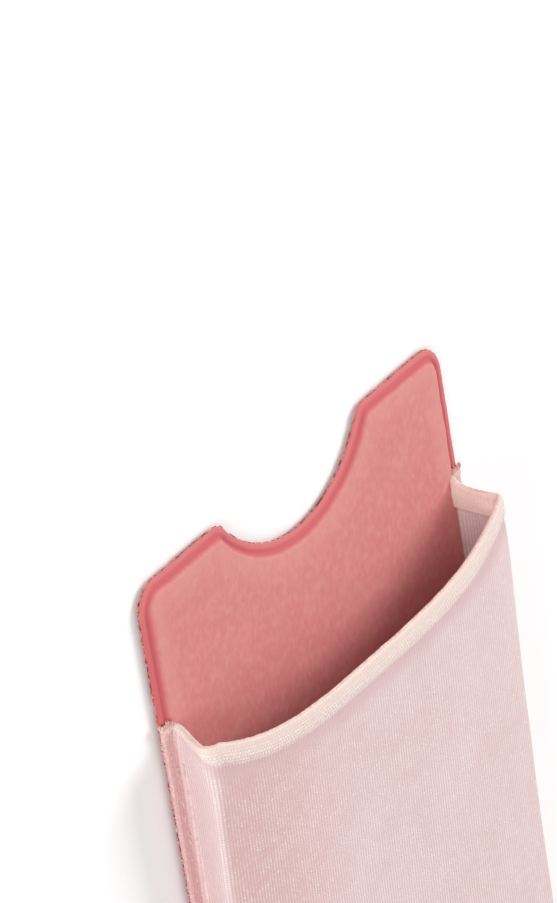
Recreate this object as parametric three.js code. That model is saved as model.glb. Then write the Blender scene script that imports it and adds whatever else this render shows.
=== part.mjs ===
// Stick-on card holder for the back of a phone: a thin padded fabric panel with an adhesive
// sheet under it and a stretch-knit pocket on top, open towards +Y and stretched open by use.
// Lengths are in millimetres. X runs across the holder, Y towards the pocket's mouth and Z away
// from the phone. The origin is the middle of the adhesive's underside.
import * as THREE from 'three';

// Back panel outline
const panelWidth = 56;
const panelHeight = 93;
const earCornerRadius = 2.6;
const bottomCornerRadius = 5;
const notchRadius = 15;
const notchDepth = 7.4;
const notchCornerRadius = 2.5;

// Back panel section: a pressed border round a raised pad
const borderWidth = 1.4;
const borderThickness = 0.55;
const padRise = 0.5;
const shoulderWidth = 0.7;

// Adhesive sheet
const adhesiveThickness = 0.25;
const adhesiveInset = 1.5;
const adhesiveCornerRadius = 3.5;

// Pocket cloth: its flange lies on the border, beside the pad
const fabricThickness = 0.4;
const seamClearance = 0.05;

// Pocket mouth: a folded hem whose edge dips in the middle
const mouthDrop = 16.9;
const mouthDip = 4.1;
const mouthSlope = 0.009;
const mouthFullness = 2.4;
const hemWidth = 2.2;
const hemThickening = 0.35;
const hemStep = 0.4;

// Pocket body: side walls up to a crease, then a front that swells past it
const creaseHeightMouth = 7.6;
const creaseHeightBottom = 5.6;
const creaseFall = 2.5;
const creaseTilt = 0.012;
const creaseInset = 0.7;
const creaseRadius = 0.75;
const frontSway = -0.5;
const frontSwell = 2.6;
const frontFullness = 3;

// Mesh steps
const arcSteps = 6;
const notchSteps = 16;
const shoulderSteps = 4;
const wallSteps = 3;
const creaseSteps = 3;
const sideSteps = 12;
const frontSteps = 20;

// Levels above the phone, and what follows from the sizes above
const borderTop = adhesiveThickness + borderThickness;
const padTop = borderTop + padRise;
const topEdge = panelHeight / 2;
const bottomEdge = -panelHeight / 2;
const notchCentre = topEdge - notchDepth + notchRadius;
const flangeWidth = borderWidth - fabricThickness - seamClearance;
const mouthEnds = topEdge - mouthDrop;
const creaseBottom = bottomEdge + creaseInset + creaseRadius;

const fullTurn = Math.PI * 2;
const quarterTurn = Math.PI / 2;
const lerp = THREE.MathUtils.lerp;

// Points on an arc, both ends included.
function arc(cx, cy, radius, start, end, steps) {
  const points = [];
  for (let i = 0; i <= steps; i += 1) {
    const angle = lerp(start, end, i / steps);
    points.push(new THREE.Vector2(cx + radius * Math.cos(angle), cy + radius * Math.sin(angle)));
  }
  return points;
}

// The panel's outline moved inwards by inset, anticlockwise from the bottom left corner.
// Every inset gives the same number of points, so outlines join ring to ring.
function panelOutline(inset) {
  const side = panelWidth / 2 - inset;
  const top = topEdge - inset;
  const bottom = bottomEdge + inset;
  const shrunk = (radius) => Math.max(radius - inset, radius / 10);
  const foot = shrunk(bottomCornerRadius);
  const ear = shrunk(earCornerRadius);
  const lip = shrunk(notchCornerRadius);
  const scoop = notchRadius + inset;
  const lipDrop = top - lip - notchCentre;
  const lipX = Math.sqrt((scoop + lip) ** 2 - lipDrop ** 2);
  const scoopAngle = Math.atan2(lipDrop, lipX);
  return [
    ...arc(-side + foot, bottom + foot, foot, Math.PI, Math.PI + quarterTurn, arcSteps),
    ...arc(side - foot, bottom + foot, foot, -quarterTurn, 0, arcSteps),
    ...arc(side - ear, top - ear, ear, 0, quarterTurn, arcSteps),
    ...arc(lipX, top - lip, lip, quarterTurn, Math.PI + scoopAngle, arcSteps),
    ...arc(0, notchCentre, scoop, scoopAngle, -Math.PI - scoopAngle, notchSteps).slice(1, -1),
    ...arc(-lipX, top - lip, lip, -scoopAngle, quarterTurn, arcSteps),
    ...arc(-side + ear, top - ear, ear, quarterTurn, Math.PI, arcSteps),
  ];
}

// Triangles over a flat ring, facing up, or down when flipped.
function capTriangles(ring, offset, flipped) {
  const flat = ring.map((p) => new THREE.Vector2(p.x, p.y));
  return THREE.ShapeUtils.triangulateShape(flat, []).flatMap(([a, b, c]) => (
    flipped ? [offset + c, offset + b, offset + a] : [offset + a, offset + b, offset + c]
  ));
}

function geometryOf(points, triangles) {
  const geometry = new THREE.BufferGeometry();
  const positions = points.flatMap((p) => [p.x, p.y, p.z]);
  geometry.setAttribute('position', new THREE.Float32BufferAttribute(positions, 3));
  geometry.setIndex(triangles);
  geometry.computeVertexNormals();
  return geometry;
}

// A closed solid from anticlockwise rings, joined from the lowest outwards and up, capped.
function loftRings(rings) {
  const count = rings[0].length;
  const triangles = capTriangles(rings[0], 0, true);
  for (let r = 0; r + 1 < rings.length; r += 1) {
    for (let i = 0; i < count; i += 1) {
      const next = (i + 1) % count;
      const [a, b] = [r * count + i, r * count + next];
      const [c, d] = [a + count, b + count];
      triangles.push(a, b, d, a, d, c);
    }
  }
  const last = rings.length - 1;
  triangles.push(...capTriangles(rings[last], last * count, false));
  return geometryOf(rings.flat(), triangles);
}

// The panel: flat underside, pressed border, and a soft shoulder up to the pad.
function backPanelGeometry() {
  const ring = (inset, height) => (
    panelOutline(inset).map((p) => new THREE.Vector3(p.x, p.y, height))
  );
  const shoulder = [];
  for (let i = 0; i <= shoulderSteps; i += 1) {
    const share = i / shoulderSteps;
    const rise = padRise * THREE.MathUtils.smoothstep(share, 0, 1);
    shoulder.push(ring(borderWidth + shoulderWidth * share, borderTop + rise));
  }
  return loftRings([ring(0, adhesiveThickness), ring(0, borderTop), ...shoulder]);
}

// The adhesive: a plain sheet with round corners, from just below the notch to the foot.
function adhesiveGeometry() {
  const side = panelWidth / 2 - adhesiveInset;
  const top = topEdge - notchDepth - adhesiveInset;
  const bottom = bottomEdge + adhesiveInset;
  const r = adhesiveCornerRadius;
  const outline = new THREE.Shape([
    ...arc(-side + r, bottom + r, r, Math.PI, Math.PI + quarterTurn, arcSteps),
    ...arc(side - r, bottom + r, r, -quarterTurn, 0, arcSteps),
    ...arc(side - r, top - r, r, 0, quarterTurn, arcSteps),
    ...arc(-side + r, top - r, r, quarterTurn, Math.PI, arcSteps),
  ]);
  return new THREE.ExtrudeGeometry(outline, { depth: adhesiveThickness, bevelEnabled: false });
}

// How far down the pocket a place lies: 0 at the mouth's ends, 1 at the bottom crease.
function depthShare(y) {
  return THREE.MathUtils.clamp((mouthEnds - y) / (mouthEnds - creaseBottom), 0, 1);
}

// The crease drops from the mouth to the bottom, and lies a little higher on the right.
function creaseHeight(x, y) {
  const above = (1 - depthShare(y)) ** creaseFall;
  return lerp(creaseHeightBottom, creaseHeightMouth, above) + creaseTilt * x;
}

// The front's height: across is -1 at the left crease and 1 at the right one.
function frontHeight(across, x, y) {
  const swell = frontSwell * (1 - depthShare(y) ** 2);
  return creaseHeight(x, y) + swell * (1 - Math.abs(across) ** frontFullness);
}

// The mouth's edge sags below its ends, fullest in the middle.
function mouthSag(across) {
  return mouthDip * (1 - Math.abs(across) ** mouthFullness);
}

function mouthEnd(sideSign) {
  return mouthEnds + sideSign * mouthSlope * panelWidth / 2;
}

// Distances below the mouth of the rows that carry the hem: its edge, its end and its step.
const hemRows = [0, hemWidth, hemWidth + hemStep];

// Stations on the panel's outline: down the left side, round the bottom and up the right side.
// Each has its inward direction and the row of the front that it ends.
function pocketStations() {
  const cornerY = bottomEdge + bottomCornerRadius;
  const cornerX = panelWidth / 2 - bottomCornerRadius;
  const sideStations = (sideSign) => {
    const stations = [];
    const start = mouthEnd(sideSign);
    hemRows.forEach((drop, row) => {
      stations.push({ x: sideSign * panelWidth / 2, y: start - drop, nx: -sideSign, ny: 0, row });
    });
    const hemEnd = start - hemRows[hemRows.length - 1];
    for (let i = 1; i <= sideSteps; i += 1) {
      const y = lerp(hemEnd, cornerY, i / sideSteps);
      const row = hemRows.length - 1 + i;
      stations.push({ x: sideSign * panelWidth / 2, y, nx: -sideSign, ny: 0, row });
    }
    for (let i = 1; i <= arcSteps; i += 1) {
      const angle = quarterTurn * i / arcSteps;
      const outX = sideSign * Math.cos(angle);
      const outY = -Math.sin(angle);
      const x = sideSign * cornerX + bottomCornerRadius * outX;
      const y = cornerY + bottomCornerRadius * outY;
      const row = hemRows.length - 1 + sideSteps + i;
      stations.push({ x, y, nx: -outX, ny: -outY, row });
    }
    return stations;
  };
  const left = sideStations(-1);
  const right = sideStations(1).reverse();
  const bottom = [];
  for (let i = 1; i < frontSteps; i += 1) {
    const x = lerp(-cornerX, cornerX, i / frontSteps);
    bottom.push({ x, y: bottomEdge, nx: 0, ny: 1, row: left.length - 1 });
  }
  return [...left, ...bottom, ...right];
}

// The cloth's section at one station, from the flange's edge to the front, for its outer face
// (depth 0) or its inner face (depth is the cloth's thickness there).
function pocketSection(station, depth) {
  const at = (inset, height, sway) => new THREE.Vector3(
    station.x + station.nx * inset + frontSway * sway,
    station.y + station.ny * inset,
    height,
  );
  const flangeTop = borderTop + fabricThickness;
  const skin = Math.min(depth, fabricThickness);
  const crease = creaseHeight(station.x, station.y + station.ny * creaseInset);
  const points = [at(0, flangeTop - skin, 0), at(flangeWidth + skin, flangeTop - skin, 0)];
  for (let i = 1; i <= wallSteps; i += 1) {
    const share = i / wallSteps;
    const inset = lerp(flangeWidth, creaseInset, share) + depth;
    points.push(at(inset, lerp(flangeTop, crease - creaseRadius, share), share));
  }
  for (let i = 1; i <= creaseSteps; i += 1) {
    const angle = quarterTurn * i / creaseSteps;
    const reach = creaseRadius - depth;
    const inset = creaseInset + creaseRadius - reach * Math.cos(angle);
    points.push(at(inset, crease - creaseRadius + reach * Math.sin(angle), 1));
  }
  return points;
}

// One face of the cloth: the sections round the pocket, and the front's rows between them.
function pocketFace(stations, depthAt) {
  const sections = stations.map((station) => pocketSection(station, depthAt(station.row)));
  const rowCount = stations.find((station) => station.nx === 0).row + 1;
  const rows = [];
  for (let row = 0; row + 1 < rowCount; row += 1) {
    const start = sections[row].at(-1);
    const end = sections[sections.length - 1 - row].at(-1);
    const drop = hemRows[Math.min(row, hemRows.length - 1)];
    const fade = row < hemRows.length ? 1 : 1 - depthShare((start.y + end.y) / 2 + drop);
    const points = [];
    for (let i = 1; i < frontSteps; i += 1) {
      const share = i / frontSteps;
      const across = 2 * share - 1;
      const x = lerp(start.x, end.x, share);
      const y = lerp(start.y, end.y, share) - mouthSag(across) * fade;
      points.push(new THREE.Vector3(x, y, frontHeight(across, x, y) - depthAt(row)));
    }
    rows.push([start, ...points, end]);
  }
  rows.push(sections.slice(rowCount - 1, rowCount + frontSteps).map((section) => section.at(-1)));
  return { sections, rows };
}

// The pocket: an outer and an inner face, joined along the flange's edge and round the mouth.
function pocketGeometry() {
  const stations = pocketStations();
  const hemDepth = fabricThickness + hemThickening;
  const outer = pocketFace(stations, () => 0);
  const inner = pocketFace(stations, (row) => (row < 2 ? hemDepth : fabricThickness));
  const points = [];
  const triangles = [];
  const quad = (a, b, c, d) => {
    const start = points.length;
    points.push(a, b, c, d);
    triangles.push(start, start + 1, start + 2, start, start + 2, start + 3);
  };
  const sheet = (grid, flipped) => {
    for (let r = 0; r + 1 < grid.length; r += 1) {
      for (let i = 0; i + 1 < grid[r].length; i += 1) {
        const corners = [grid[r][i], grid[r + 1][i], grid[r + 1][i + 1], grid[r][i + 1]];
        quad(...(flipped ? corners.reverse() : corners));
      }
    }
  };
  sheet(outer.sections, false);
  sheet(outer.rows, false);
  sheet(inner.sections, true);
  sheet(inner.rows, true);
  for (let m = 0; m + 1 < stations.length; m += 1) {
    const [here, next] = [m, m + 1];
    quad(outer.sections[here][0], inner.sections[here][0],
      inner.sections[next][0], outer.sections[next][0]);
  }
  const mouthPath = ({ sections, rows }) => [
    ...sections[0],
    ...rows[0].slice(1, -1),
    ...sections.at(-1).slice().reverse(),
  ];
  const [outerPath, innerPath] = [mouthPath(outer), mouthPath(inner)];
  for (let p = 0; p + 1 < outerPath.length; p += 1) {
    quad(outerPath[p], outerPath[p + 1], innerPath[p + 1], innerPath[p]);
  }
  return geometryOf(points, triangles);
}

function cloth(color, roughness) {
  return new THREE.MeshStandardMaterial({ color, roughness, metalness: 0 });
}

function named(name, geometry, material) {
  const mesh = new THREE.Mesh(geometry, material);
  mesh.name = name;
  return mesh;
}

const holder = new THREE.Group();
holder.add(named('adhesive_sheet', adhesiveGeometry(), cloth(0xe9e4e0, 0.5)));
holder.add(named('back_panel', backPanelGeometry(), cloth(0xde9691, 0.9)));
holder.add(named('stretch_pocket', pocketGeometry(), cloth(0xe8cac6, 0.6)));

export default holder;
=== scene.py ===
"""Stick-on card holder: a padded coral panel with a pressed border and a pale stretch-knit pocket.

Lengths are in metres, most of them written as millimetres times MM. X runs across the
holder, Y towards the pocket's mouth and Z up from the adhesive's underside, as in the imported
frame.
"""

import bmesh
import bpy
import numpy as np
from mathutils import Matrix, Vector


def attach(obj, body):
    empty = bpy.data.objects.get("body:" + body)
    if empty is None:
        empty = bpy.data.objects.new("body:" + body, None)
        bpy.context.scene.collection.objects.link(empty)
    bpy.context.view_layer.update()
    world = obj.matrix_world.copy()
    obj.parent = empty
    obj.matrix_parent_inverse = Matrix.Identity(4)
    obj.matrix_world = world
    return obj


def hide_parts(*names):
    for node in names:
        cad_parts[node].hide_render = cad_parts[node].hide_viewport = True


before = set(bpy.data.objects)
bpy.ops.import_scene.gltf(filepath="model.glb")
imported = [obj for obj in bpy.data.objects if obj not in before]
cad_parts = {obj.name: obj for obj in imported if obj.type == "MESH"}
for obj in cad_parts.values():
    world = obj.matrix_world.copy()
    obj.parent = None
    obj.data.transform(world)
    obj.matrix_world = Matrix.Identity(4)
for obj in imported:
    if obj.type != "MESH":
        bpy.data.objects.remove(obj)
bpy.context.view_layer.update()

MM = 0.001
QUARTER_TURN = np.pi / 2

# Panel outline
PANEL_WIDTH = 56 * MM
PANEL_HEIGHT = 93 * MM
EAR_CORNER = 3.2 * MM
FOOT_CORNER = 5 * MM
NOTCH_RADIUS = 15 * MM
NOTCH_DEPTH = 7.4 * MM
NOTCH_CORNER = 2.5 * MM
TOP_EDGE = PANEL_HEIGHT / 2
FOOT_EDGE = -PANEL_HEIGHT / 2
NOTCH_CENTRE = TOP_EDGE - NOTCH_DEPTH + NOTCH_RADIUS
SHARPEST_CORNER = 0.1

# Panel section
ADHESIVE_TOP = 0.25 * MM
BORDER_TOP = 0.8 * MM
PAD_TOP = 1.3 * MM
RIM_RADIUS = 0.18 * MM
UNDERCUT = 1.3 * MM
UNDERCUT_STEEPNESS = 1.6
SHOULDER_POWER = 1.3
VALLEY_DEPTH = 0.09 * MM
VALLEY_INSET = 1.0 * MM
VALLEY_WIDTH = 0.28 * MM
PAD_INSET = 1.75 * MM
PAD_CROWN = 0.09 * MM
CROWN_INSET = 6 * MM
SPINE_LOW = -35 * MM
SPINE_HIGH = 20 * MM
SPINE_INSET = 26 * MM
UNDERSIDE_INSET = 4 * MM

# The panel's mesh: rings along its section, and steps round the corners, the notch and the sides
UNDER_STEPS = 4
RIM_STEPS = 10
BORDER_STEPS = 11
SHOULDER_STEPS = 12
PAD_EDGE_STEPS = 8
CROWN_RINGS = 25
BEND_STEPS = 12
SCOOP_STEPS = 60
PANEL_FOOT_STEPS = 110
PANEL_SIDE_STEPS = 190
EAR_TOP_STEPS = 22
MERGE_REACH = 1e-7

# Unevenness of the panel's edge, shoulder and pad
EDGE_WAVE = 0.035 * MM
EDGE_WAVE_LENGTH = 3.5 * MM
EDGE_RIPPLE = 0.018 * MM
EDGE_RIPPLE_LENGTH = 0.9 * MM
PUCKER = 0.03 * MM
PUCKER_LENGTH = 2.4 * MM
PUCKER_INSET = 1.7 * MM
PUCKER_WIDTH = 0.6 * MM
PAD_WAVE = 0.03 * MM
PAD_WAVE_LENGTH = 5 * MM
PAD_WAVE_INSET = 3 * MM

# Pocket cloth
CLOTH = 0.35 * MM
FLANGE_TOP = 1.2 * MM
FLANGE_WIDTH = 1.6 * MM
FLANGE_EDGE = 0.4 * MM
FLANGE_OVERHANG = 0.2 * MM
FLANGE_EDGE_CURL = 0.12
BASE_FILLET = 0.55 * MM
CREASE_HEIGHT_MOUTH = 7.6 * MM
CREASE_HEIGHT_FOOT = 5.6 * MM
CREASE_FALL = 2.5
CREASE_TILT = 0.012
CREASE_INSET = 0.7 * MM
CREASE_RADIUS = 0.8 * MM
MOUTH_ROUNDING_LEFT = 0.95 * MM
MOUTH_ROUNDING_RIGHT = 0.6 * MM
MOUTH_ROUNDING_REACH = 8 * MM
CREASE_FOOT = FOOT_EDGE + CREASE_INSET + CREASE_RADIUS
FRONT_SWAY = -0.7 * MM
FRONT_SWELL = 1.5 * MM
FRONT_FULLNESS = 4
FOOT_LEAN = 0.07

# Pocket mouth
MOUTH_ENDS = TOP_EDGE - 16.9 * MM
MOUTH_SLOPE = 0.009
MOUTH_DIP = 3.8 * MM
MOUTH_FULLNESS = 3.3
MOUTH_RISE = 1.5 * MM
MOUTH_RISE_FADE = 0.9 * MM
MOUTH_RISE_REACH = 5 * MM
HEM_WIDTH = 2.7 * MM
HEM_END = 2.6 * MM
FOLD_RADIUS = 0.4 * MM
FLANGE_PRESS = 0.42
PRESS_START = 0.6 * MM
PRESS_BLEND = 1.2 * MM
HEM_PUFF = 0.12 * MM
HEM_VALLEY = 0.1 * MM
HEM_VALLEY_DROP = 0.5 * MM
HEM_VALLEY_WIDTH = 0.6 * MM

# The hem on the walls, as shares of its width, puff and valley on the front
HEM_WALL_WIDTH = 0.4
HEM_WALL_PUFF = 0.7
HEM_WALL_VALLEY = 0.3
FRONT_START = 5 * MM
FRONT_BLEND = 4 * MM

# Unevenness of the cloth
CLOTH_WAVE = 0.03 * MM
CLOTH_WAVE_LENGTH = 9 * MM
HEM_RIPPLE = 0.012 * MM
HEM_RIPPLE_LENGTH = 1.1 * MM
SEAM_PUCKER = 0.05 * MM
SEAM_PUCKER_LENGTH = 1.6 * MM
SEAM_PUCKER_REACH = 1.4 * MM
CUT_EDGE_FADE = 0.4 * MM

# The cloth's mesh: rows down the hem and the wall, and steps round the seam and the hem's fold
HEM_ROWS = 15
HEM_ROWS_PAST = 0.6 * MM
HEM_TURNED_ROWS = 13
FOLD_STEPS = 8
WALL_ROWS = 121
CORNER_STEPS = 14
FOOT_STEPS = 131

# Steps along each section, from the flange's cut edge to the crease, and two places on the way
FLANGE_EDGE_STEPS = 5
FLANGE_STEPS = 5
FILLET_STEPS = 5
WALL_STEPS = 16
CREASE_STEPS = 10
FLANGE_CREST = FLANGE_EDGE_STEPS + 4
SEAM_BASE = FLANGE_EDGE_STEPS + FLANGE_STEPS + 4

# How many threads of each kind, and how thick
FRAYED_ENDS = 420
MOUTH_FRAYED_ENDS = 60
MOUTH_FRAY_REACH = 2.2 * MM
BASE_LOOPS = 460
FLANGE_LOOPS = 240
HEM_LOOPS = 430
BACKING_THREADS = 820
FRAY_RADIUS = 0.05 * MM
SEAM_LOOP_RADIUS = 0.055 * MM
HEM_LOOP_RADIUS = 0.07 * MM
BACKING_RADIUS = 0.06 * MM
YARN_END = 0.06
POCKET_THREAD_SEED = 51
PANEL_THREAD_SEED = 52


def smooth(share):
    """An even rise from 0 to 1 that starts and ends level."""
    t = np.clip(share, 0, 1)
    return t * t * (3 - 2 * t)


def lerp(start, end, share):
    return start + (end - start) * share


def unevenness(x, y, wavelength, seed, waves=9):
    """A smooth lumpiness of about -1 to 1: cosine waves of like length in seeded directions."""
    rng = np.random.default_rng(seed)
    turn = rng.uniform(0, 2 * np.pi, waves)
    phase = rng.uniform(0, 2 * np.pi, waves)
    pace = 2 * np.pi / (wavelength * rng.uniform(0.7, 1.5, waves))
    along = x[..., None] * np.cos(turn) + y[..., None] * np.sin(turn)
    return np.cos(along * pace + phase).sum(-1) / np.sqrt(waves)


def vertex_normals(points, quads):
    """The mean direction of the faces round each vertex, from the cross of each face's diagonals."""
    corners = points[quads]
    faces = np.cross(corners[:, 2] - corners[:, 0], corners[:, 3] - corners[:, 1])
    normals = np.zeros_like(points)
    for corner in range(4):
        np.add.at(normals, quads[:, corner], faces)
    length = np.linalg.norm(normals, axis=1, keepdims=True)
    return normals / np.maximum(length, 1e-20)


def grid_quads(numbers, closed=False):
    """Faces between neighbouring rows and columns of a grid of vertex numbers."""
    ring = np.concatenate([numbers, numbers[:, :1]], 1) if closed else numbers
    sides = [ring[:-1, :-1], ring[:-1, 1:], ring[1:, 1:], ring[1:, :-1]]
    return np.stack(sides, -1).reshape(-1, 4)


def new_piece(name, points, faces, maps=None):
    """A smooth-shaded mesh of the given points and faces, with UV maps given per vertex."""
    mesh = bpy.data.meshes.new(name)
    mesh.from_pydata(points.tolist(), [], [list(face) for face in faces])
    corner = np.zeros(len(mesh.loops), np.int32)
    mesh.loops.foreach_get("vertex_index", corner)
    for map_name, places in (maps or {}).items():
        layer = mesh.uv_layers.new(name=map_name)
        layer.uv.foreach_set("vector", places[corner].astype(np.float32).ravel())
    mesh.polygons.foreach_set("use_smooth", np.ones(len(mesh.polygons), bool))
    mesh.update()
    piece = bpy.data.objects.new(name, mesh)
    bpy.context.scene.collection.objects.link(piece)
    return piece


def yarns(paths, radius, sides=5):
    """Closed tubes along many short paths of as many points, narrowed at both ends.

    paths has the shape (yarns, steps, 3). Each ring is a circle across the path's direction, and
    its radius follows the root of a half sine wave whose very ends are left off.
    """
    count, steps, _ = paths.shape
    along = np.gradient(paths, axis=1)
    along /= np.linalg.norm(along, axis=2, keepdims=True)
    guide = np.where(np.abs(along[:, :1, 2:]) < 0.8, [[[0, 0, 1.0]]], [[[1.0, 0, 0]]])
    across = np.cross(along, np.broadcast_to(guide, along.shape))
    across /= np.linalg.norm(across, axis=2, keepdims=True)
    other = np.cross(along, across)
    share = np.linspace(0, 1, steps)
    thin = radius * np.sqrt(np.sin(np.pi * lerp(YARN_END, 1 - YARN_END, share)))
    angle = np.linspace(0, 2 * np.pi, sides, endpoint=False)
    ring = across[:, :, None] * np.cos(angle)[:, None] + other[:, :, None] * np.sin(angle)[:, None]
    tubes = paths[:, :, None] + ring * thin[:, None, None]
    numbers = np.arange(count * steps * sides).reshape(count, steps, sides)
    walls = [grid_quads(numbers[i], closed=True) for i in range(count)]
    faces = np.concatenate(walls).tolist()
    faces += numbers[:, 0, ::-1].tolist()
    faces += numbers[:, -1, :].tolist()
    return tubes.reshape(-1, 3), faces


def arc(cx, cy, radius, start, end, steps):
    angle = np.linspace(start, end, steps + 1)
    return np.stack([cx + radius * np.cos(angle), cy + radius * np.sin(angle)], 1)


def panel_outline(inset):
    """Points round the panel moved inwards by inset, anticlockwise from the foot's left corner.

    Corners are arcs that shrink with the inset, the notch is a scoop that grows with it, and the
    straight sides between them have evenly spaced points.
    """
    side = PANEL_WIDTH / 2 - inset
    top = TOP_EDGE - inset
    low = FOOT_EDGE + inset
    foot = max(FOOT_CORNER - inset, FOOT_CORNER * SHARPEST_CORNER)
    ear = max(EAR_CORNER - inset, EAR_CORNER * SHARPEST_CORNER)
    lip = max(NOTCH_CORNER - inset, NOTCH_CORNER * SHARPEST_CORNER)
    scoop = NOTCH_RADIUS + inset
    lip_drop = top - lip - NOTCH_CENTRE
    lip_x = np.sqrt((scoop + lip) ** 2 - lip_drop ** 2)
    turn = np.arctan2(lip_drop, lip_x)
    stretches = [
        (arc(-side + foot, low + foot, foot, np.pi, np.pi + QUARTER_TURN, BEND_STEPS), PANEL_FOOT_STEPS),
        (arc(side - foot, low + foot, foot, -QUARTER_TURN, 0, BEND_STEPS), PANEL_SIDE_STEPS),
        (arc(side - ear, top - ear, ear, 0, QUARTER_TURN, BEND_STEPS), EAR_TOP_STEPS),
        (arc(lip_x, top - lip, lip, QUARTER_TURN, np.pi + turn, BEND_STEPS), 1),
        (arc(0, NOTCH_CENTRE, scoop, turn, -np.pi - turn, SCOOP_STEPS)[1:-1], 1),
        (arc(-lip_x, top - lip, lip, -turn, QUARTER_TURN, BEND_STEPS), EAR_TOP_STEPS),
        (arc(-side + ear, top - ear, ear, QUARTER_TURN, np.pi, BEND_STEPS), PANEL_SIDE_STEPS),
    ]
    points = []
    for number, (bend, steps) in enumerate(stretches):
        after = stretches[(number + 1) % len(stretches)][0][0]
        share = np.linspace(0, 1, steps + 1)[1:-1, None]
        points += [bend, bend[-1] + (after - bend[-1]) * share]
    return np.concatenate(points)


def panel_profile():
    """Insets and heights from the underside round the rim, over the border and up to the pad.

    The pressed border stands a little off the surface below. Its rim is a half circle, its top
    dips to a narrow valley by a bell curve, and the pad's shoulder is a power of a quarter sine wave.
    """
    share = np.linspace(0, 1, UNDER_STEPS + 1)
    lifted = BORDER_TOP - 2 * RIM_RADIUS
    under_height = lerp(ADHESIVE_TOP, lifted, smooth(share * UNDERCUT_STEEPNESS))
    under = list(zip(lerp(UNDERCUT, RIM_RADIUS, share), under_height))
    turn = np.linspace(-QUARTER_TURN, QUARTER_TURN, RIM_STEPS + 1)[1:-1]
    rim = [(RIM_RADIUS * (1 - np.cos(a)), BORDER_TOP - RIM_RADIUS * (1 - np.sin(a))) for a in turn]
    inset = np.linspace(RIM_RADIUS, VALLEY_INSET, BORDER_STEPS + 1)
    dip = VALLEY_DEPTH * np.exp(-((inset - VALLEY_INSET) / VALLEY_WIDTH) ** 2)
    border = list(zip(inset, BORDER_TOP - dip))
    share = np.linspace(0, 1, SHOULDER_STEPS + 1)[1:]
    rise = PAD_TOP - BORDER_TOP + VALLEY_DEPTH
    shoulder = list(zip(
        lerp(VALLEY_INSET, PAD_INSET, share),
        BORDER_TOP - VALLEY_DEPTH + rise * np.sin(QUARTER_TURN * share) ** SHOULDER_POWER,
    ))
    share = np.linspace(0, 1, PAD_EDGE_STEPS + 1)[1:]
    crown = list(zip(
        lerp(PAD_INSET, CROWN_INSET, share),
        PAD_TOP + PAD_CROWN * np.sin(QUARTER_TURN * share),
    ))
    return [(UNDERSIDE_INSET, ADHESIVE_TOP)] + under + rim + border + shoulder + crown


def pad_wave(flat):
    """The pad's gentle ups and downs at places on its plan."""
    return PAD_WAVE * unevenness(flat[:, 0], flat[:, 1], PAD_WAVE_LENGTH, seed=14)


def padded_panel():
    """The panel as rings from the underside out and up to the pad, closed on a line in its middle.

    Each ring is the outline at one inset and height. The edge is slightly wavy, the valley's floor
    and the shoulder pucker a little, and the pad's top is gently uneven.
    """
    outer = panel_outline(0)
    outward = outer - panel_outline(0.3 * MM)
    outward /= np.linalg.norm(outward, axis=1, keepdims=True)
    wave = EDGE_WAVE * unevenness(outer[:, 0], outer[:, 1], EDGE_WAVE_LENGTH, seed=11)
    wave += EDGE_RIPPLE * unevenness(outer[:, 0], outer[:, 1], EDGE_RIPPLE_LENGTH, seed=12)
    pucker = PUCKER * unevenness(outer[:, 0], outer[:, 1], PUCKER_LENGTH, seed=13)
    rings = []
    insets = []
    for inset, height in panel_profile():
        flat = panel_outline(inset) + outward * (wave * np.exp(-inset / MM))[:, None]
        lift = pucker * np.exp(-((inset - PUCKER_INSET) / PUCKER_WIDTH) ** 2)
        lift = lift + smooth(inset / PAD_WAVE_INSET) * pad_wave(flat)
        if height <= ADHESIVE_TOP:
            lift = 0 * lift
        rings.append(np.column_stack([flat, height + lift]))
        insets.append(np.full(len(flat), inset))
    spine = np.column_stack([
        np.zeros(len(outer)), np.clip(rings[-1][:, 1], SPINE_LOW, SPINE_HIGH),
    ])
    crown = rings[-1][:, :2]
    for share in np.linspace(0, 1, CROWN_RINGS + 1)[1:]:
        flat = lerp(crown, spine, share)
        rings.append(np.column_stack([flat, PAD_TOP + PAD_CROWN + pad_wave(flat)]))
        insets.append(np.full(len(flat), lerp(CROWN_INSET, SPINE_INSET, share)))
    under_spine = np.column_stack([spine, np.full(len(spine), ADHESIVE_TOP)])
    rings.insert(0, under_spine)
    insets.insert(0, np.full(len(spine), SPINE_INSET))
    points = np.concatenate(rings)
    numbers = np.arange(len(points)).reshape(len(rings), -1)
    around = np.tile(np.arange(len(outer)) / len(outer), len(rings))
    maps = {"inset_map": np.column_stack([np.concatenate(insets) / MM, around])}
    panel = new_piece("padded_panel", points, grid_quads(numbers, closed=True), maps)
    merge_doubles(panel)
    return panel


def merge_doubles(piece):
    """Joins the points that lie together, as where rings close on a line."""
    sheet = bmesh.new()
    sheet.from_mesh(piece.data)
    bmesh.ops.remove_doubles(sheet, verts=sheet.verts, dist=MERGE_REACH)
    sheet.to_mesh(piece.data)
    sheet.free()


def depth_share(y):
    """0 at the mouth's ends and 1 at the foot's crease."""
    return np.clip((MOUTH_ENDS - y) / (MOUTH_ENDS - CREASE_FOOT), 0, 1)


def crease_height(x, y):
    """The crease drops from the mouth to the foot and lies a little higher on the right."""
    above = (1 - depth_share(y)) ** CREASE_FALL
    return lerp(CREASE_HEIGHT_FOOT, CREASE_HEIGHT_MOUTH, above) + CREASE_TILT * x


def front_swell(y):
    return FRONT_SWELL * (1 - depth_share(y) ** 2)


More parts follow.
